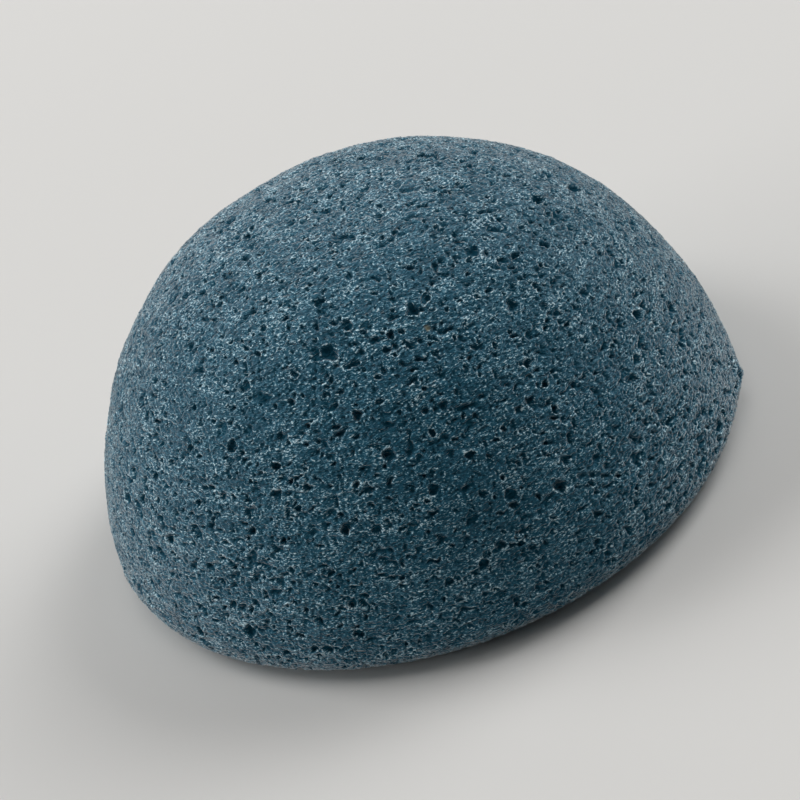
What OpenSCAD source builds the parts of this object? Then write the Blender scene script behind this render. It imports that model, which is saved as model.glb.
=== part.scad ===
// Half-ball konjac facial sponge: a moulded, freeze-set foam of coloured konjac gum.
// It is one casting with three regions that part from each other when it is cut or worn:
// the fine-celled skin of the dome, the skin of the flat back, and the open-celled core.
// The sponge lies on its flat back, with the origin at the middle of the back.

/* [Sponge] */
// Diameter at the widest line, just above the flat back
sponge_d = 80; // [66:1:110]
// Height from the flat back to the crown
sponge_h = 38; // [30:0.5:52]
// Radius of the rounded edge between the flat back and the dome
edge_r = 4; // [3:0.1:6]
// Roundness of the dome across its width, where 2 is a ball and more is a fuller crown
crown_power = 2.8; // [2:0.1:3.4]
// Roundness of the dome up its height, where 2 is a ball and less leans the sides in sooner
side_power = 1.55; // [1.45:0.05:2]

/* [Skins] */
// Thickness of the fine-celled skin over the dome
dome_skin_t = 1.6; // [1.2:0.1:2.2]
// Thickness of the skin across the flat back
back_skin_t = 1.4; // [1.1:0.1:2]

/* [Pores] */
// Number of large open pores in the dome
dome_pore_count = 150; // [20:1:220]
// Number of large open pores in the flat back
back_pore_count = 56; // [8:1:90]
// Radius of the smallest of the large pores
small_pore_r = 0.35; // [0.25:0.05:0.5]
// Radius of the largest pore
large_pore_r = 0.95; // [0.6:0.05:1.1]

/* [Hidden] */
$fn = 96;

sponge_r = sponge_d / 2;
// The straight part of the flat back ends where the round edge starts
back_flat_r = sponge_r - edge_r;
// Steps along the dome's curve, along the round edge and round a pore
dome_steps = 40;
edge_steps = 8;
pore_steps = 24;

// Each pore is a ball whose centre stands out of the surface by this share of its radius
pore_lift_share = 0.2;
// How often small pores come: 1 is even, and more makes large pores rarer
pore_rarity = 2.2;
// Angle between one pore and the next round the axis
golden_angle = 180 * (3 - sqrt(5));
// Pores of the dome keep above this angle of its curve, clear of the round edge
lowest_pore_angle = 5;
// Pores of the back keep inside this share of its flat part
back_pore_share = 0.96;
// How far a pore may stray from its even place, as a share of the distance between pores
stray_share = 0.55;

skin_blue = [0.25, 0.36, 0.42];
core_blue = [0.18, 0.29, 0.35];

// A number from 0 to 1 that looks random and is always the same for the same i and k
function scatter(i, k) =
    let(s = sin(i * 1271.17 + k * 3391.7) * 4375.85)
    s - floor(s);

// Radius and height of a point on the dome. The curve runs from angle 0 at the widest line
// to 90 at the crown, and inset is how far it lies inside the outer surface.
function dome_point(angle, inset = 0) =
    [
        (sponge_r - inset) * pow(cos(angle), 2 / crown_power),
        edge_r + (sponge_h - edge_r - inset) * pow(sin(angle), 2 / side_power)
    ];

// Half section of the sponge, or of what lies inside skins of the given thickness
function half_section(side_inset = 0, back_inset = 0) =
    concat(
        [[0, back_inset]],
        [
            for (i = [0:edge_steps])
                let(a = 90 * i / edge_steps)
                [
                    back_flat_r + (edge_r - side_inset) * sin(a),
                    edge_r - (edge_r - back_inset) * cos(a)
                ]
        ],
        [for (i = [1:dome_steps - 1]) dome_point(90 * i / dome_steps, side_inset)],
        [[0, sponge_h - side_inset]]
    );

module core_section() {
    polygon(half_section(dome_skin_t, back_skin_t));
}

// Everything of the sponge's section that lies below the top of the back skin
module below_back_skin_top() {
    square([sponge_r, back_skin_t]);
}

// Radius of pore i, with few large ones
function pore_r(i, k) =
    small_pore_r + (large_pore_r - small_pore_r) * pow(scatter(i, k), pore_rarity);

// The way that the dome's surface faces, in degrees above level, between two of its points
function facing(angle, step = 1) =
    let(d = dome_point(min(angle + step, 90)) - dome_point(max(angle - step, 0)))
    atan2(-d[0], d[1]);

// Balls centred just outside the dome, spread evenly over its area along a spiral
module dome_pores() {
    spacing = sponge_r * sqrt(2 * PI / dome_pore_count);
    for (i = [0:dome_pore_count - 1]) {
        r = pore_r(i, 1);
        even = acos((i + 0.5) / dome_pore_count);
        stray = stray_share * spacing / sponge_r * 180 / PI;
        tilt = min(even + stray * (scatter(i, 2) - 0.5), 90 - lowest_pore_angle);
        angle = 90 - abs(tilt);
        at = dome_point(angle, -pore_lift_share * r);
        turn = golden_angle * i + stray * (scatter(i, 3) - 0.5) / max(sin(even), stray / 90);
        rotate(turn)
            translate([at[0], 0, at[1]])
                rotate([0, -facing(angle), 0])
                    sphere(r, $fn = pore_steps);
    }
}

// Balls centred just below the flat back, spread evenly along a spiral
module back_pores() {
    reach = back_pore_share * back_flat_r - large_pore_r;
    spacing = reach * sqrt(PI / back_pore_count);
    for (i = [0:back_pore_count - 1]) {
        r = pore_r(i, 4);
        out = reach * sqrt((i + 0.5) / back_pore_count);
        stray = [scatter(i, 5) - 0.5, scatter(i, 6) - 0.5] * stray_share * spacing;
        turn = golden_angle * i;
        rotate(turn)
            translate([min(out + stray[0], reach), stray[1], -pore_lift_share * r])
                rotate([0, 90, 0])
                    sphere(r, $fn = pore_steps);
    }
}

// Fine-celled skin that the gel forms against the bowl of the mould
module dome_skin() {
    color(skin_blue)
        difference() {
            rotate_extrude()
                difference() {
                    polygon(half_section());
                    core_section();
                    below_back_skin_top();
                }
            dome_pores();
        }
}

// Skin of the levelled side, with the lower part of the round edge
module back_skin() {
    color(skin_blue)
        difference() {
            rotate_extrude()
                intersection() {
                    polygon(half_section());
                    below_back_skin_top();
                }
            back_pores();
        }
}

// Open-celled foam that fills both skins
module foam_core() {
    color(core_blue)
        rotate_extrude()
            core_section();
}

dome_skin();
back_skin();
foam_core();
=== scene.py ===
"""A half-ball konjac sponge: three regions of one foam casting, with pores, cells and a matte finish.

Lengths are in metres. The sponge stands on its flat back at the origin, with +Z through the crown.
"""

import math

import bpy
import numpy as np
from mathutils import Matrix, Vector


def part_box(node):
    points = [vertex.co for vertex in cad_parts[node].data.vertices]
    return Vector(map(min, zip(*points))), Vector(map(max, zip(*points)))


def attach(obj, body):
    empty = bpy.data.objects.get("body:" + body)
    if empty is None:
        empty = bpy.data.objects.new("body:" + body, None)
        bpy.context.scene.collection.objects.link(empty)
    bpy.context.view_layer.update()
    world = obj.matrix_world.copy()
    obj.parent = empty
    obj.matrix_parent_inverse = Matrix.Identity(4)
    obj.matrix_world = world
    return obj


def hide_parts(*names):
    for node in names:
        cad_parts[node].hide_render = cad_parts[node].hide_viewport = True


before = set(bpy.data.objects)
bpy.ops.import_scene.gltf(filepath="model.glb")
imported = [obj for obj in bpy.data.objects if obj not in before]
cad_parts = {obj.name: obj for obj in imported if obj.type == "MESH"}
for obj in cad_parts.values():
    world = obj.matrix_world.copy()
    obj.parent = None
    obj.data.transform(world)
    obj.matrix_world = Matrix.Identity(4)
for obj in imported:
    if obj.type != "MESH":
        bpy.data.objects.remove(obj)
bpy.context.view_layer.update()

# Sizes, read from the solids where they hold them

MM = 0.001
_, dome_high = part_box("dome_skin")
core_low, core_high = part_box("foam_core")
SPONGE_R = dome_high.x
SPONGE_H = dome_high.z
DOME_SKIN_T = dome_high.x - core_high.x
BACK_SKIN_T = core_low.z
EDGE_R = 4 * MM
CROWN_POWER = 2.8
SIDE_POWER = 1.55

# Steps of the half section, and how much closer they lie towards the crown

DOME_STEPS = 3000
EDGE_STEPS = 200
BACK_STEPS = 400
CROWN_CROWDING = 1.8

# The camera that the photograph was taken with, fitted to the sponge's outline

FRAME_PX = 800
SENSOR = 36 * MM
LENS = 98.4 * MM
CAMERA_AWAY = 274 * MM
CAMERA_ELEVATION = math.radians(34.45)
CAMERA_ROLL = math.radians(20.5)
AIM = Vector((-0.64 * MM, 0, 9.74 * MM))
CLIP_START, CLIP_END = 0.01, 20

# Distance between the mesh's points, and how wide the ring is over which it grows from dome to back

DOME_SPACING = 0.15 * MM
BACK_SPACING = 0.26 * MM
SPACING_BLEND = 2 * EDGE_R
CORE_SPACING = 0.6 * MM
INSIDE_SPACING = 1.6 * MM

# The fewest points of a ring, and the metres by which two equal heights may differ

FEWEST_POINTS = 6
TINY = 1e-9

# Cells: distance between them, smallest and largest radius, and the share of places that have one

FINE_CELLS = (0.6 * MM, 0.12 * MM, 0.26 * MM, 0.45)
MEDIUM_CELLS = (1.0 * MM, 0.25 * MM, 0.42 * MM, 0.2)
WIDE_CELLS = (2.2 * MM, 0.35 * MM, 0.65 * MM, 0.2)
CORE_CELLS = (1.5 * MM, 0.5 * MM, 0.85 * MM, 0.9)

# The deepest that a cell goes, as a share of its radius, and any hole, as a share of the skin

BUBBLE_DEPTH_SHARE = 0.9
DEEPEST_SHARE = 0.8

# Rims of cells and pores: place, width and reach, all in radii of the cell, and height

RIM_AT = 1.15
RIM_SPREAD = 0.2
RIM_REACH = 2
RIM_HEIGHT = 0.08 * MM

# The cells' outlines stray from round: width of the bends and how far they reach

RUFFLE = 0.7 * MM
RUFFLE_REACH = 0.3 * MM
FINE_RUFFLE = 0.5 * MM
FINE_RUFFLE_REACH = 0.1 * MM

# Lumps of the whole surface: height and width

LUMP = 0.22 * MM
LUMP_SIZE = 9 * MM
SMALL_LUMP = 0.09 * MM
SMALL_LUMP_SIZE = 2.6 * MM

# Felt of broken cell walls: depth, width, a finer layer's share of both, and how far it is drawn out level

FELT = 0.25 * MM
FELT_SIZE = 0.5 * MM
FINE_FELT_SHARE = 0.5
DRAWN_OUT = 1.5

# Soft hollows between the pores: depth, width and the level of the noise at which they start

HOLLOW = 0.6 * MM
HOLLOW_SIZE = 0.9 * MM
HOLLOW_START = 0.3

# Pores of the solids, by the same rule as there

DOME_PORE_COUNT = 150
BACK_PORE_COUNT = 56
SMALL_PORE_R = 0.35 * MM
LARGE_PORE_R = 0.95 * MM
PORE_RARITY = 2.2
PORE_LIFT_SHARE = 0.2
LOWEST_PORE_ANGLE = 5
BACK_PORE_SHARE = 0.96
STRAY_SHARE = 0.55
GOLDEN_ANGLE = 180 * (3 - math.sqrt(5))
SCATTER_STEP = 1271.17
SCATTER_SKIP = 3391.7
SCATTER_GAIN = 4375.85

# Pores that stand out in the photograph: pixel across and down, width and height in pixels

SEEN_PORES = (
    (329, 353, 18, 13), (312, 354, 6, 8), (294, 374, 8, 7), (304, 327, 8, 6),
    (288, 329, 6, 5), (387, 350, 8, 8), (327, 395, 9, 7), (339, 390, 8, 7),
    (379, 400, 8, 8), (357, 415, 11, 10), (394, 310, 7, 7), (291, 344, 10, 5),
    (559, 486, 14, 12), (510, 494, 12, 10), (501, 545, 12, 10), (520, 543, 9, 9),
    (535, 547, 9, 8), (554, 517, 8, 6), (547, 454, 7, 5), (515, 461, 8, 6),
    (496, 441, 8, 7), (455, 439, 9, 7), (592, 484, 7, 6), (483, 495, 9, 8),
    (470, 520, 8, 7), (607, 474, 9, 6), (554, 525, 6, 5), (486, 555, 8, 7),
    (458, 578, 8, 6), (477, 573, 10, 7), (397, 184, 8, 5), (440, 197, 12, 5),
    (379, 206, 8, 6), (411, 223, 8, 5), (433, 237, 9, 6), (493, 219, 6, 7),
    (498, 179, 4, 9), (515, 258, 8, 9), (539, 269, 7, 6), (343, 201, 9, 5),
    (456, 242, 8, 8), (492, 281, 8, 5), (643, 279, 6, 6), (619, 320, 7, 6),
    (686, 321, 7, 5), (638, 359, 8, 12), (632, 378, 10, 8), (632, 406, 9, 5),
    (377, 529, 10, 8), (234, 577, 9, 7), (165, 382, 6, 5), (418, 382, 7, 6),
    (336, 427, 9, 8), (308, 488, 9, 8),
)

# Pixels to a metre on the sponge, depth of such a pore as a share of its width, and a pixel out of sight

PX_PER_M = 8000
SEEN_DEPTH_SHARE = 0.45
OUT_OF_SIGHT = -FRAME_PX

# A tan fleck in the foam, placed as those pores are

FLECK = (427, 327, 6, 9)

# A nib on the widest line: degrees round the axis, height above the back, how far it stands out, and width

NIB_TURN = -17
NIB_Z = 4 * MM
NIB_HEIGHT = 0.9 * MM
NIB_WIDTH = 2.8 * MM

# Seeds of the lattice's numbers, of which some uses take the next few as well

RUFFLE_SEED = 11
FINE_RUFFLE_SEED = 21
FINE_SEED = 31
MEDIUM_SEED = 41
WIDE_SEED = 51
LUMP_SEED = 61
SMALL_LUMP_SEED = 62
FELT_SEED = 63
FINE_FELT_SEED = 64
HOLLOW_SEED = 67
OUTSIDE_SEED = 71
INSIDE_SEED = 72
CORE_SEED = 73
CORE_CELL_SEED = 81

# Large odd numbers and shifts that mix a lattice cell's place, and how many values the result can have

MIX_X, MIX_Y, MIX_Z = 374761393, 668265263, 2246822519
MIX_SEED = 3266489917
MIX_AGAIN = 1274126177
MIX_SHIFT, LAST_SHIFT = 13, 16
MIXED_VALUES = 2**32


def camera_axes():
    """The camera's place and its right, up and back directions."""
    place = CAMERA_AWAY * Vector((0, -math.cos(CAMERA_ELEVATION), math.sin(CAMERA_ELEVATION)))
    back = (place - AIM).normalized()
    level = Vector((0, 0, 1)).cross(back).normalized()
    rise = back.cross(level)
    right = math.cos(CAMERA_ROLL) * level - math.sin(CAMERA_ROLL) * rise
    up = math.sin(CAMERA_ROLL) * level + math.cos(CAMERA_ROLL) * rise
    return place, right, up, back


def seen_at(places):
    """Pixel coordinates of places in the photograph's frame."""
    eye, right, up, back = (np.array(v) for v in camera_axes())
    away = places - eye
    scale = FRAME_PX * LENS / SENSOR / -(away @ back)
    across, down = scale * (away @ right), scale * (away @ up)
    return np.stack([FRAME_PX / 2 + across, FRAME_PX / 2 - down], 1)


# Noise on lattices that fill space, the same every run


def lattice(cells, seed):
    """A number from 0 to 1 for each whole-numbered cell."""
    c = cells.astype(np.uint32)
    h = c[:, 0] * np.uint32(MIX_X)
    h += c[:, 1] * np.uint32(MIX_Y)
    h += c[:, 2] * np.uint32(MIX_Z)
    h += np.uint32(seed * MIX_SEED % MIXED_VALUES)
    h = (h ^ (h >> np.uint32(MIX_SHIFT))) * np.uint32(MIX_AGAIN)
    h ^= h >> np.uint32(LAST_SHIFT)
    return h.astype(np.float32) / np.float32(MIXED_VALUES)


def noise(places, size, seed):
    """Smooth noise from -1 to 1, with lumps about as large as size."""
    at = places / size
    home = np.floor(at).astype(np.int32)
    share = (at - home).astype(np.float32)
    share = share * share * (3 - 2 * share)
    value = np.zeros(len(places), np.float32)
    for corner in np.ndindex(2, 2, 2):
        weight = np.prod(np.where(corner, share, 1 - share), 1)
        value += weight * lattice(home + np.array(corner, np.int32), seed)
    return 2 * value - 1


def ruffled(places, size, reach, seed):
    """The places moved at random by up to reach, so that round shapes drawn on them turn irregular."""
    return places + reach * np.stack([noise(places, size, seed + k) for k in range(3)], 1)


def on_rim(out):
    """From 0 to 1, how far a place lies on a pore's rim, given its distance from the middle in radii."""
    return np.exp(-(((out - RIM_AT) / RIM_SPREAD) ** 2))


def bubbles(places, normals, cell, small, large, share, seed):
    """How deep the bubbles that open at each place are, and how far it lies on their rims.

    There is a bubble in a share of the cells.
    """
    depth, rim = np.zeros((2, len(places)), np.float32)
    home = np.floor(places / cell).astype(np.int32)
    for step in np.ndindex(3, 3, 3):
        at = home + np.array(step, np.int32) - 1
        jitter = np.stack([lattice(at, seed + k) for k in range(3)], 1)
        r = small + (large - small) * lattice(at, seed + 3)
        away = places - (at + jitter) * cell
        along = (away * normals).sum(1)
        distance2 = (away * away).sum(1)
        left = r * r - distance2
        opens = (np.abs(along) < r) & (lattice(at, seed + 4) < share)
        deep = np.minimum(along + np.sqrt(np.maximum(left + along * along, 0)), BUBBLE_DEPTH_SHARE * r)
        depth = np.maximum(depth, np.where(opens & (left > 0), deep, 0))
        rim = np.maximum(rim, np.where(opens, on_rim(np.sqrt(distance2) / r), 0))
    return depth, rim


# The sponge's half section, as in its solids


def half_section(side_inset=0.0, back_inset=0.0):
    """Radius and height of closely set points, from the crown over the widest line to the back."""
    angle = math.pi / 2 * (1 - np.linspace(0, 1, DOME_STEPS) ** CROWN_CROWDING)
    dome_r = (SPONGE_R - side_inset) * np.maximum(np.cos(angle), 0) ** (2 / CROWN_POWER)
    dome_z = EDGE_R + (SPONGE_H - EDGE_R - side_inset) * np.sin(angle) ** (2 / SIDE_POWER)
    dome_r[0] = 0
    turn = np.linspace(0, math.pi / 2, EDGE_STEPS)
    edge_r = SPONGE_R - EDGE_R + (EDGE_R - side_inset) * np.cos(turn)
    edge_z = EDGE_R - (EDGE_R - back_inset) * np.sin(turn)
    back_r = np.linspace(SPONGE_R - EDGE_R, 0, BACK_STEPS)
    back_z = np.full(BACK_STEPS, back_inset)
    r = np.concatenate([dome_r, edge_r[1:], back_r[1:]])
    z = np.concatenate([dome_z, edge_z[1:], back_z[1:]])
    return r, z


def outside_spacing(r, z):
    """Distance between points of the outer surface: fine on the dome, wider under the back."""
    under = np.clip((SPONGE_R - r) / SPACING_BLEND, 0, 1) * (z < EDGE_R)
    return DOME_SPACING + (BACK_SPACING - DOME_SPACING) * under


def even_spacing(distance):
    """The same distance between points everywhere."""
    return lambda r, z: distance + 0 * r


class Revolved:
    """Points on rings round the axis, along a half section, and the way that the surface faces there.

    The ring nearest to the height that split gives is moved there, and its number is split_ring.
    """

    def __init__(self, section, spacing, split, seed):
        r, z = section
        length = np.concatenate([[0], np.cumsum(np.hypot(np.diff(r), np.diff(z)))])
        steps = [0.0]
        while steps[-1] < length[-1]:
            at = np.interp(steps[-1], length, r), np.interp(steps[-1], length, z)
            steps.append(steps[-1] + float(spacing(*at)))
        self.s = np.array(steps) * length[-1] / steps[-1]
        split_length = length[np.flatnonzero(z <= split + TINY)[0]]
        self.split_ring = int(np.abs(self.s - split_length).argmin())
        self.s[self.split_ring] = split_length
        self.r = np.interp(self.s, length, r)
        self.z = np.interp(self.s, length, z)
        self.r[[0, -1]] = 0
        dr, dz = np.gradient(r, length), np.gradient(z, length)
        nr, nz = np.interp(self.s, length, -dz), np.interp(self.s, length, dr)
        nr[[0, -1]] = 0
        self.counts = np.maximum(2 * math.pi * self.r / spacing(self.r, self.z), FEWEST_POINTS).astype(int)
        self.counts[[0, -1]] = 1
        self.starts = np.cumsum(self.counts) - self.counts
        ring = np.repeat(np.arange(len(self.s)), self.counts)
        numbers = np.stack([np.arange(len(self.s))] * 3, 1).astype(np.int32)
        offset = np.where(self.counts > 1, lattice(numbers, seed), 0)
        step = np.arange(len(ring)) - self.starts[ring] + offset[ring]
        self.angle = 2 * math.pi * step / self.counts[ring]
        ray = np.stack([np.cos(self.angle), np.sin(self.angle)], 1)
        size = np.hypot(nr, nz)
        self.places = np.column_stack([self.r[ring][:, None] * ray, self.z[ring]])
        self.normals = np.column_stack([(nr / size)[ring][:, None] * ray, (nz / size)[ring]])

    def rings(self, first, last, from_end=False, added=0):
        """Rings first to last, each as its first point, its angles and its distance from the nearest pole.

        The points' numbers have added on top.
        """
        pole = self.s[-1] if from_end else 0
        order = range(first, last + 1) if last >= first else range(first, last - 1, -1)
        return [
            (
                added + self.starts[k],
                self.angle[self.starts[k] : self.starts[k] + self.counts[k]],
                abs(self.s[k] - pole),
            )
            for k in order
        ]


# How deep the large pores go


def scatter(i, k):
    """A number from 0 to 1 that is always the same for the same i and k, as in the solids."""
    s = math.sin(math.radians(i * SCATTER_STEP + k * SCATTER_SKIP)) * SCATTER_GAIN
    return s - math.floor(s)


def dome_point(angle, inset=0.0):
    """Radius and height of a point on the dome, from 0 degrees at the widest line to 90 at the crown."""
    a = math.radians(angle)
    return (
        (SPONGE_R - inset) * math.cos(a) ** (2 / CROWN_POWER),
        EDGE_R + (SPONGE_H - EDGE_R - inset) * math.sin(a) ** (2 / SIDE_POWER),
    )


def pore_r(i, k):
    """Radius of pore i, with few large ones."""
    return SMALL_PORE_R + (LARGE_PORE_R - SMALL_PORE_R) * scatter(i, k) ** PORE_RARITY


def turned(out, across, z, turn):
    """A place out and across from the axis, turned round it by some degrees."""
    c, s = math.cos(math.radians(turn)), math.sin(math.radians(turn))
    return np.array([out * c - across * s, out * s + across * c, z])


def dome_pores():
    """Centre and radius of each large pore of the dome."""
    spacing = SPONGE_R * math.sqrt(2 * math.pi / DOME_PORE_COUNT)
    stray = STRAY_SHARE * math.degrees(spacing / SPONGE_R)
    for i in range(DOME_PORE_COUNT):
        r = pore_r(i, 1)
        even = math.degrees(math.acos((i + 0.5) / DOME_PORE_COUNT))
        tilt = min(even + stray * (scatter(i, 2) - 0.5), 90 - LOWEST_PORE_ANGLE)
        out, z = dome_point(90 - abs(tilt), -PORE_LIFT_SHARE * r)
        sideways = stray * (scatter(i, 3) - 0.5) / max(math.sin(math.radians(even)), stray / 90)
        yield turned(out, 0, z, GOLDEN_ANGLE * i + sideways), r


def back_pores():
    """Centre and radius of each large pore of the flat back."""
    reach = BACK_PORE_SHARE * (SPONGE_R - EDGE_R) - LARGE_PORE_R
    spacing = reach * math.sqrt(math.pi / BACK_PORE_COUNT)
    for i in range(BACK_PORE_COUNT):
        r = pore_r(i, 4)
        stray = [(scatter(i, k) - 0.5) * STRAY_SHARE * spacing for k in (5, 6)]
        out = min(reach * math.sqrt((i + 0.5) / BACK_PORE_COUNT) + stray[0], reach)
        yield turned(out, stray[1], -PORE_LIFT_SHARE * r, GOLDEN_ANGLE * i), r


def pores(places, normals, balls):
    """How deep balls, as centre and radius, go in at each place, and how far it lies on their rims."""
    depth, rim = np.zeros((2, len(places)))
    for centre, r in balls:
        near = np.flatnonzero(np.abs(places - centre).max(1) < RIM_REACH * r)
        away = places[near] - centre
        along = (away * normals[near]).sum(1)
        distance2 = (away * away).sum(1)
        left = r * r - distance2
        deep = along + np.sqrt(np.maximum(left + along * along, 0))
        depth[near] = np.maximum(depth[near], np.where(left > 0, deep, 0))
        rim[near] = np.maximum(rim[near], on_rim(np.sqrt(distance2) / r))
    return depth, rim


def out_of_spot(pixels, spot):
    """Distance of pixel coordinates from a spot's middle, where 1 is its outline."""
    x, y, wide, tall = spot
    away = (pixels - (x, y)) / (wide / 2, tall / 2)
    return np.hypot(away[:, 0], away[:, 1])


def seen_pores(pixels):
    """How deep the photographed pores go at each place, and how far it lies on their rims."""
    depth, rim = np.zeros((2, len(pixels)))
    for spot in SEEN_PORES:
        out = out_of_spot(pixels, spot)
        near = np.flatnonzero(out < RIM_REACH)
        size = min(spot[2:]) / PX_PER_M
        shape = np.sqrt(np.maximum(1 - out[near] ** 2, 0))
        depth[near] = np.maximum(depth[near], SEEN_DEPTH_SHARE * size * shape)
        rim[near] = np.maximum(rim[near], on_rim(out[near]))
    return depth, rim


def foam_surface(base):
    """Places of the outer surface's points, their height above the plain shape, and named values of each."""
    places, normals = base.places, base.normals
    moved = ruffled(places, RUFFLE, RUFFLE_REACH, RUFFLE_SEED)
    hidden = ((np.array(camera_axes()[0]) - places) * normals).sum(1) < 0
    pixels = np.where(hidden[:, None], OUT_OF_SIGHT, seen_at(moved))
    finely_moved = ruffled(places, FINE_RUFFLE, FINE_RUFFLE_REACH, FINE_RUFFLE_SEED)
    fine, _ = bubbles(finely_moved, normals, *FINE_CELLS, FINE_SEED)
    depths, rims = zip(
        bubbles(moved, normals, *MEDIUM_CELLS, MEDIUM_SEED),
        bubbles(moved, normals, *WIDE_CELLS, WIDE_SEED),
        pores(moved, normals, [*dome_pores(), *back_pores()]),
        seen_pores(pixels),
    )
    skin = np.where(places[:, 2] < BACK_SKIN_T, BACK_SKIN_T, DOME_SKIN_T)
    depth = np.minimum(np.maximum.reduce([fine, *depths]), DEEPEST_SHARE * skin)
    rim = np.maximum.reduce(rims)
    flat = moved * (1, 1, DRAWN_OUT)
    fine_felt = FINE_FELT_SHARE * np.abs(noise(flat, FELT_SIZE * FINE_FELT_SHARE, FINE_FELT_SEED))
    felt = FELT * (np.abs(noise(flat, FELT_SIZE, FELT_SEED)) + fine_felt)
    dips = (noise(flat, HOLLOW_SIZE, HOLLOW_SEED) - HOLLOW_START) / (1 - HOLLOW_START)
    carved = felt + np.maximum(depth, HOLLOW * np.clip(dips, 0, 1))
    lumps = LUMP * noise(places, LUMP_SIZE, LUMP_SEED)
    lumps = lumps + SMALL_LUMP * noise(places, SMALL_LUMP_SIZE, SMALL_LUMP_SEED)
    nib_at = turned(SPONGE_R, 0, NIB_Z, NIB_TURN)
    nib = NIB_HEIGHT * np.exp(-np.sqrt(((places - nib_at) ** 2).sum(1)) / NIB_WIDTH)
    lifted = np.clip(places[:, 2] / EDGE_R, 0, 1)
    height = lifted * (lumps + RIM_HEIGHT * rim + nib) - carved
    fleck = np.maximum(1 - out_of_spot(pixels, FLECK) ** 2, 0)
    values = {"depth": carved / MM, "rim": rim, "fleck": fleck}
    return places + height[:, None] * normals, height, values


# The pieces' meshes


def band(above, below, first_above, first_below):
    """Triangles between two rings, given their points' angles and first indices. They face out."""
    many, few = len(above), len(below)
    order = np.argsort(np.concatenate([above, below]), kind="stable")
    from_below = order >= many
    i = np.cumsum(~from_below) - 1
    j = np.cumsum(from_below) - 1
    top = first_above + np.stack([i % many, (i - 1) % many], 1)
    low = first_below + np.stack([(j - 1) % few, j % few], 1)
    down = np.column_stack([top, low[:, 1]])[~from_below]
    up = np.column_stack([low, top[:, 0]])[from_below]
    return np.concatenate(([down] if many > 1 else []) + ([up] if few > 1 else []))


def sheet(rings, middle, radius, side):
    """Triangles between rings, and the place of each of their corners on a disc of the surface map."""
    pairs = zip(rings, rings[1:])
    faces = np.concatenate([band(a[1], b[1], a[0], b[0]) for a, b in pairs])
    points = np.concatenate([first + np.arange(len(angles)) for first, angles, _ in rings])
    turn = np.concatenate([angles for _, angles, _ in rings])
    away = np.concatenate([np.full(len(angles), distance) for _, angles, distance in rings])
    out = radius * away / away.max()
    spots = np.zeros((points.max() + 1, 2))
    spots[points] = np.array(middle) + np.stack([out * np.cos(turn), side * out * np.sin(turn)], 1)
    return faces, spots[faces.ravel()]


def ridges(count, faces, depth):
    """How much less deep each point is than its neighbours are."""
    ends = np.concatenate([faces[:, [0, 1]], faces[:, [1, 2]], faces[:, [2, 0]]])
    around = np.bincount(ends[:, 0], depth[ends[:, 1]], count)
    return around / np.maximum(np.bincount(ends[:, 0], minlength=count), 1) - depth


def piece(name, places, values, sheets):
    """A closed smooth piece made of sheets, with its surface map and named values for each point."""
    faces = np.concatenate([faces for faces, _ in sheets])
    spots = np.concatenate([spots for _, spots in sheets]).astype(np.float32)
    used, corners = np.unique(faces, return_inverse=True)
    corners = corners.ravel().astype(np.int32)
    mesh = bpy.data.meshes.new(name)
    mesh.vertices.add(len(used))
    mesh.vertices.foreach_set("co", places[used].astype(np.float32).ravel())
    mesh.loops.add(len(corners))
    mesh.loops.foreach_set("vertex_index", corners)
    mesh.polygons.add(len(faces))
    mesh.polygons.foreach_set("loop_start", np.arange(0, len(corners), 3, dtype=np.int32))
    mesh.update(calc_edges=True)
    mesh.uv_layers.new(name="OFBake").data.foreach_set("uv", spots.ravel())
    for key, value in values.items():
        layer = mesh.attributes.new(key, "FLOAT", "POINT")
        layer.data.foreach_set("value", value[used].astype(np.float32))
    mesh.shade_smooth()
    obj = bpy.data.objects.new(name, mesh)
    bpy.context.scene.collection.objects.link(obj)
    return obj


# Discs of the surface map, as middle and radius: a large one, and a small one in the corner that it leaves

DISC = ((0.5, 0.5), 0.5)
CORNER_DISC = ((0.083, 0.083), 0.08)

# The side from which a sheet is seen on the map

ABOVE, BELOW = 1, -1


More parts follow.
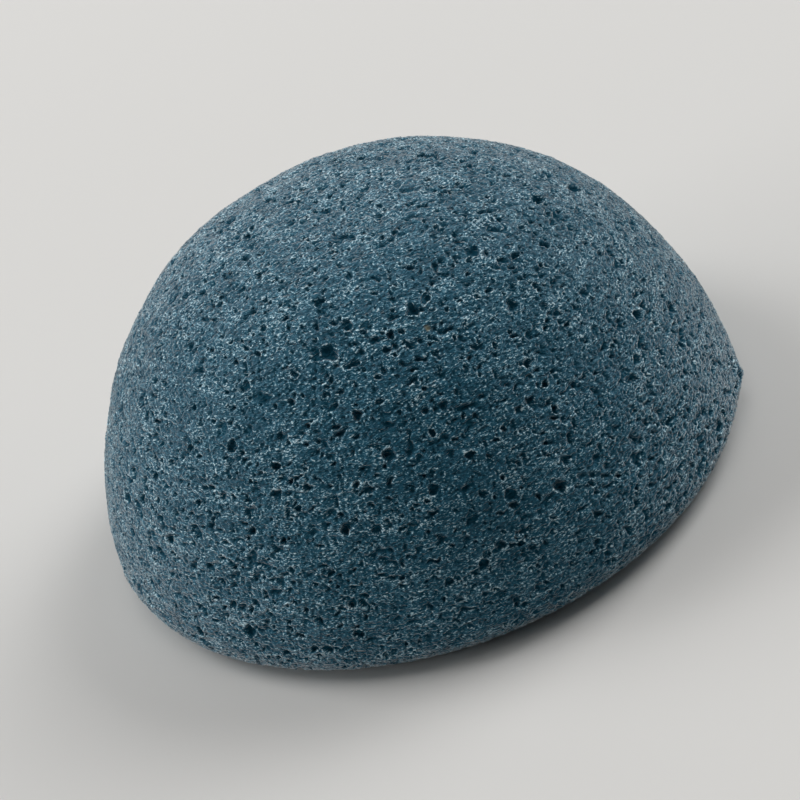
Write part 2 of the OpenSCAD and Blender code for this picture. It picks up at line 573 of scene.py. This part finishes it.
def make_pieces():
    """The dome's skin, the back's skin and the core."""
    outside = Revolved(half_section(), outside_spacing, BACK_SKIN_T, OUTSIDE_SEED)
    core_section = half_section(DOME_SKIN_T, BACK_SKIN_T)
    inside = Revolved(core_section, even_spacing(INSIDE_SPACING), BACK_SKIN_T, INSIDE_SEED)
    core = Revolved(core_section, even_spacing(CORE_SPACING), BACK_SKIN_T, CORE_SEED)
    split, end = outside.split_ring, len(outside.s) - 1
    inner_split, inner_end = inside.split_ring, len(inside.s) - 1
    surface, height, values = foam_surface(outside)
    added = len(surface)
    places = np.concatenate([surface, inside.places])

    dome_out = sheet(outside.rings(0, split), *DISC, ABOVE)
    back_out = sheet(outside.rings(split, end, from_end=True), *DISC, BELOW)
    lip = SPONGE_R - inside.r[inner_split]
    rim_of_dome = outside.rings(split, split)[0][:2] + (inside.s[inner_split] + lip,)
    dome_in = sheet([rim_of_dome] + inside.rings(inner_split, 0, added=added), *CORNER_DISC, BELOW)
    back_in_rings = inside.rings(inner_end, inner_split, from_end=True, added=added)
    rim_of_back = outside.rings(split, split)[0][:2] + (back_in_rings[-1][2] + lip,)
    back_in = sheet(back_in_rings + [rim_of_back], *CORNER_DISC, ABOVE)

    values["ridge"] = ridges(added, np.concatenate([dome_out[0], back_out[0]]), -height) / MM
    inner_zeros = np.zeros(len(inside.places))
    values = {key: np.concatenate([value, inner_zeros]) for key, value in values.items()}
    core_depth, core_rim = bubbles(core.places, core.normals, *CORE_CELLS, CORE_CELL_SEED)
    core_places = core.places - core_depth[:, None] * core.normals
    core_end = len(core.s) - 1
    core_sheets = [
        sheet(core.rings(0, core.split_ring), *DISC, ABOVE),
        sheet(core.rings(core.split_ring, core_end, from_end=True), *CORNER_DISC, BELOW),
    ]
    core_ridge = ridges(len(core_places), np.concatenate([faces for faces, _ in core_sheets]), core_depth)
    core_values = {"depth": core_depth / MM, "rim": core_rim, "ridge": core_ridge / MM}
    return (
        piece("dome_foam", places, values, [dome_out, dome_in]),
        piece("back_foam", places, values, [back_out, back_in]),
        piece("core_foam", core_places, core_values, core_sheets),
    )


# Materials

# Numbers of a colour mix's sockets: its share, its first and second colour, and its result

BLEND_SHARE, BLEND_FIRST, BLEND_SECOND = 0, 6, 7
BLEND_RESULT = 2


def node(tree, kind, sockets, **settings):
    """A new node, whose sockets take plain values or other nodes' outputs."""
    made = tree.nodes.new(kind)
    for key, value in settings.items():
        setattr(made, key, value)
    for key, value in sockets.items():
        if isinstance(value, bpy.types.NodeSocket):
            tree.links.new(value, made.inputs[key])
        else:
            made.inputs[key].default_value = value
    return made


def texture(tree, where, size, detail, distortion=0.0, roughness=0.5):
    """Noise with lumps about as large as size."""
    sockets = {"Vector": where, "Scale": 1 / size, "Detail": detail}
    sockets.update({"Distortion": distortion, "Roughness": roughness})
    return node(tree, "ShaderNodeTexNoise", sockets).outputs[0]


def ranged(tree, value, low, high, to_low=0.0, to_high=1.0):
    """A value's way from low to high, as a smooth step between two numbers."""
    sockets = {"Value": value, "From Min": low, "From Max": high, "To Min": to_low, "To Max": to_high}
    return node(tree, "ShaderNodeMapRange", sockets, interpolation_type="SMOOTHSTEP").outputs[0]


def maths(tree, operation, *values):
    """A sum, product or other result of values."""
    return node(tree, "ShaderNodeMath", dict(enumerate(values)), operation=operation).outputs[0]


def total(tree, value, *others):
    """All the values added up."""
    for other in others:
        value = maths(tree, "ADD", value, other)
    return value


def mixed(tree, share, a, b):
    """Colour a, turning to colour b by share."""
    sockets = {BLEND_SHARE: share, BLEND_FIRST: a, BLEND_SECOND: b}
    return node(tree, "ShaderNodeMix", sockets, data_type="RGBA").outputs[BLEND_RESULT]


def shaded(tree, value, shades):
    """The colour at a value's place on a scale of shades."""
    ramp = node(tree, "ShaderNodeValToRGB", {0: value})
    stops = ramp.color_ramp.elements
    stops[0].position, stops[0].color = shades[0]
    stops[1].position, stops[1].color = shades[-1]
    for at, colour in shades[1:-1]:
        stops.new(at).color = colour
    return ramp.outputs[0]


# The foam's shades, from its darkest cells to the bright broken edges of the cell walls, whose palest stops
# are painted glints

SHADES = (
    (0.2, (0.0, 0.037, 0.064, 1)),
    (0.4, (0.0, 0.057, 0.098, 1)),
    (0.53, (0.002, 0.078, 0.132, 1)),
    (0.6, (0.02, 0.128, 0.2, 1)),
    (0.67, (0.15, 0.335, 0.435, 1)),
    (0.75, (0.7, 0.89, 0.96, 1)),
)

# Painted shade of the deepest foam: its colour, and the depths in millimetres between which it takes over

PAINTED_PIT_SHADE = (0.0, 0.068, 0.116, 1)
PIT_FROM, PIT_TO = 0.2, 0.6

# Colour of the tan fleck

FLECK_COLOUR = (0.2, 0.2, 0.14, 1)

# Finish: roughness on the surface and from a depth in millimetres on, gloss and sheen

ROUGHNESS, PIT_ROUGHNESS = 0.5, 0.9
ROUGHEST_DEPTH = 0.5
GLOSS = 0.18
SHEEN = 1.0
SHEEN_ROUGHNESS = 0.35
SHEEN_TINT = (1.0, 1.0, 1.0, 1)

# Noise of the materials: its middle value, its usual range, and how far it is drawn out level

NOISE_MIDDLE = 0.5
NOISE_LOW, NOISE_HIGH = 0.3, 0.7
NOISE_DRAWN_OUT = 3.2

# Specks, in the noise's own form

SPECK_SIZE = 0.3 * MM
SPECK_GAIN = 0.73
SPECK_DETAIL = 1
SPECK_DISTORTION = 0.4
SPECK_ROUGHNESS = 0.6

# Strands, which run where the noise is at its middle: steepness, height, and the painted highlight that they
# add to the shade along their crests

STRAND_SIZE = 0.9 * MM
STRAND_DETAIL = 1
STRAND_DISTORTION = 0.6
STRAND_GAIN = 4
STRAND_LEVEL = 0.45
STRAND_HIGHLIGHT_SHIFT = 0.22
STRAND_HEIGHT = 0.1 * MM

# Clumps and larger clouds, and how far they change the shade

CLUMP_SIZE = 2.2 * MM
CLUMP_DETAIL = 2
CLUMP_SHIFT = 0.045
CLOUD_SIZE = 6 * MM
CLOUD_DETAIL = 3
CLOUD_SHIFT = 0.03

# Cell walls, by the millimetres that they stand out, painted lighter where they stand out and darker where
# they sink, and rims of cells, painted with a highlight that a noise breaks up

RIDGE_RANGE = 0.12
WALL_LIGHT_AND_SHADE_SHIFT = 0.09
RIM_HIGHLIGHT_SHIFT = 0.06
RIM_BREAK_SIZE = 0.4 * MM
RIM_BREAK_DETAIL = 1
RIM_BREAK_LOW, RIM_BREAK_HIGH = 0.48, 0.6

# The core's shade, along the scale

CORE_SHIFT = -0.04


def foam_material(name, shift):
    """Matte foam, with its shade shifted along the scale, and painted highlights and painted shade in its
    colour.
    """
    material = bpy.data.materials.new(name)
    material.use_nodes = True
    tree = material.node_tree
    tree.nodes.clear()
    depth, ridge, rim, fleck = (
        node(tree, "ShaderNodeAttribute", {}, attribute_name=key).outputs["Fac"]
        for key in ("depth", "ridge", "rim", "fleck")
    )
    where = node(tree, "ShaderNodeTexCoord", {}).outputs["Object"]
    drawn = {"Vector": where, "Scale": (1, 1, NOISE_DRAWN_OUT)}
    where = node(tree, "ShaderNodeMapping", drawn).outputs[0]

    level = NOISE_MIDDLE - NOISE_MIDDLE * SPECK_GAIN + shift
    specks = texture(tree, where, SPECK_SIZE, SPECK_DETAIL, SPECK_DISTORTION, SPECK_ROUGHNESS)
    specks = maths(tree, "MULTIPLY_ADD", specks, SPECK_GAIN, level)
    strands = texture(tree, where, STRAND_SIZE, STRAND_DETAIL, STRAND_DISTORTION)
    strands = maths(tree, "MULTIPLY_ADD", strands, STRAND_GAIN, -NOISE_MIDDLE * STRAND_GAIN)
    strands = maths(tree, "SUBTRACT", STRAND_LEVEL, maths(tree, "ABSOLUTE", strands))
    # Painted highlight along the raised crests of the strands
    strand_highlights = maths(tree, "MULTIPLY", strands, STRAND_HIGHLIGHT_SHIFT)
    clumps = texture(tree, where, CLUMP_SIZE, CLUMP_DETAIL)
    clumps = ranged(tree, clumps, NOISE_LOW, NOISE_HIGH, -CLUMP_SHIFT, CLUMP_SHIFT)
    clouds = texture(tree, where, CLOUD_SIZE, CLOUD_DETAIL)
    clouds = ranged(tree, clouds, NOISE_LOW, NOISE_HIGH, -CLOUD_SHIFT, CLOUD_SHIFT)
    # Painted highlight on cell walls that stand out and painted shade where they sink below their neighbours
    walls = ranged(tree, ridge, -RIDGE_RANGE, RIDGE_RANGE, -WALL_LIGHT_AND_SHADE_SHIFT, WALL_LIGHT_AND_SHADE_SHIFT)
    # Painted highlight on the rims of cells and pores, broken up by noise
    breaks = texture(tree, where, RIM_BREAK_SIZE, RIM_BREAK_DETAIL)
    breaks = ranged(tree, breaks, RIM_BREAK_LOW, RIM_BREAK_HIGH, 0, RIM_HIGHLIGHT_SHIFT)
    rim_highlights = maths(tree, "MULTIPLY", rim, breaks)
    # Shade on the scale: the foam's own specks, clumps and clouds, plus painted highlights on strands, walls
    # and rims and painted shade where walls sink
    colour = shaded(tree, total(tree, specks, strand_highlights, clumps, clouds, walls, rim_highlights), SHADES)
    # Painted shade in deep cells and pores
    colour = mixed(tree, ranged(tree, depth, PIT_FROM, PIT_TO), colour, PAINTED_PIT_SHADE)
    colour = mixed(tree, fleck, colour, FLECK_COLOUR)

    bump = node(tree, "ShaderNodeBump", {"Distance": STRAND_HEIGHT, "Height": strands})
    surface = node(tree, "ShaderNodeBsdfPrincipled", {
        "Base Color": colour,
        "Roughness": ranged(tree, depth, 0, ROUGHEST_DEPTH, ROUGHNESS, PIT_ROUGHNESS),
        "Specular IOR Level": GLOSS,
        "Sheen Weight": SHEEN,
        "Sheen Roughness": SHEEN_ROUGHNESS,
        "Sheen Tint": SHEEN_TINT,
        "Normal": bump.outputs[0],
    })
    node(tree, "ShaderNodeOutputMaterial", {"Surface": surface.outputs[0]})
    return material


# The stage, the lamps and the camera

# The floor's finish, and its side in metres

FLOOR_COLOUR = (0.72, 0.71, 0.69, 1)
FLOOR_ROUGHNESS = 0.8
FLOOR_SIDE = 6.0

# The sky's colour, its strength as a light and its strength where it is seen

SKY_COLOUR = (0.84, 0.84, 0.83, 1)
SKY_STRENGTH = 0.01
SEEN_SKY_STRENGTH = 0.85

# Soft boxes, all equally far away: degrees round the axis and above the floor, side in metres and brightness

LAMP_AWAY = 3.0
LAMPS = {
    "left": (180, 12, 1.7, 1.15),
    "back_left": (150, 40, 1.7, 1.5),
    "back": (90, 40, 2.0, 0.3),
    "back_right": (30, 40, 1.7, 1.75),
    "right": (5, 12, 2.0, 0.45),
    "top": (0, 90, 1.7, 0.45),
}


def make_floor():
    """A plain pale square, which belongs to the stage."""
    material = bpy.data.materials.new("pale_floor")
    material.use_nodes = True
    surface = material.node_tree.nodes["Principled BSDF"]
    surface.inputs["Base Color"].default_value = FLOOR_COLOUR
    surface.inputs["Roughness"].default_value = FLOOR_ROUGHNESS
    half = FLOOR_SIDE / 2
    corners = [(-half, -half, 0), (half, -half, 0), (half, half, 0), (-half, half, 0)]
    mesh = bpy.data.meshes.new("floor")
    mesh.from_pydata(corners, [], [(0, 1, 2, 3)])
    mesh.materials.append(material)
    floor = bpy.data.objects.new("floor", mesh)
    bpy.context.scene.collection.objects.link(floor)


def make_sky():
    """A faint even light from all round, which is pale where it is seen, also in gloss or through glass."""
    world = bpy.data.worlds.new("sky")
    bpy.context.scene.world = world
    world.use_nodes = True
    tree = world.node_tree
    ray = node(tree, "ShaderNodeLightPath", {}).outputs
    seen = maths(tree, "MAXIMUM", ray["Is Camera Ray"], ray["Is Glossy Ray"])
    seen = maths(tree, "MAXIMUM", seen, ray["Is Transmission Ray"])
    strength = maths(tree, "MULTIPLY_ADD", seen, SEEN_SKY_STRENGTH - SKY_STRENGTH, SKY_STRENGTH)
    light = tree.nodes["Background"]
    light.inputs["Color"].default_value = SKY_COLOUR
    tree.links.new(strength, light.inputs["Strength"])


def make_lamp(name, turn, rise, side, brightness):
    """A square soft box that faces the sponge and lights it as a sun of that brightness would."""
    lamp = bpy.data.lights.new(name, "AREA")
    lamp.size = side
    lamp.energy = brightness * math.pi * LAMP_AWAY**2
    obj = bpy.data.objects.new(name, lamp)
    level = math.cos(math.radians(rise))
    back = Vector(turned(level, 0, math.sin(math.radians(rise)), turn))
    obj.location = back * LAMP_AWAY
    obj.rotation_euler = back.to_track_quat("Z", "Y").to_euler()
    bpy.context.scene.collection.objects.link(obj)


def make_camera():
    """The camera at the photograph's place, with its roll."""
    place, right, up, back = camera_axes()
    data = bpy.data.cameras.new("camera")
    data.lens = LENS / MM
    data.sensor_width = SENSOR / MM
    data.clip_start, data.clip_end = CLIP_START, CLIP_END
    camera = bpy.data.objects.new("camera", data)
    camera.matrix_world = Matrix([
        (right.x, up.x, back.x, place.x),
        (right.y, up.y, back.y, place.y),
        (right.z, up.z, back.z, place.z),
        (0, 0, 0, 1),
    ])
    bpy.context.scene.collection.objects.link(camera)
    bpy.context.scene.camera = camera


make_camera()
dome, back, core = make_pieces()
for made, solid, shift in (
    (dome, "dome_skin", 0),
    (back, "back_skin", 0),
    (core, "foam_core", CORE_SHIFT),
):
    made.data.materials.append(foam_material(made.name, shift))
    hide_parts(solid)
    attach(made, "root")

make_floor()
make_sky()
for name, lamp in LAMPS.items():
    make_lamp(name, *lamp)
bpy.context.scene.view_settings.view_transform = "Standard"
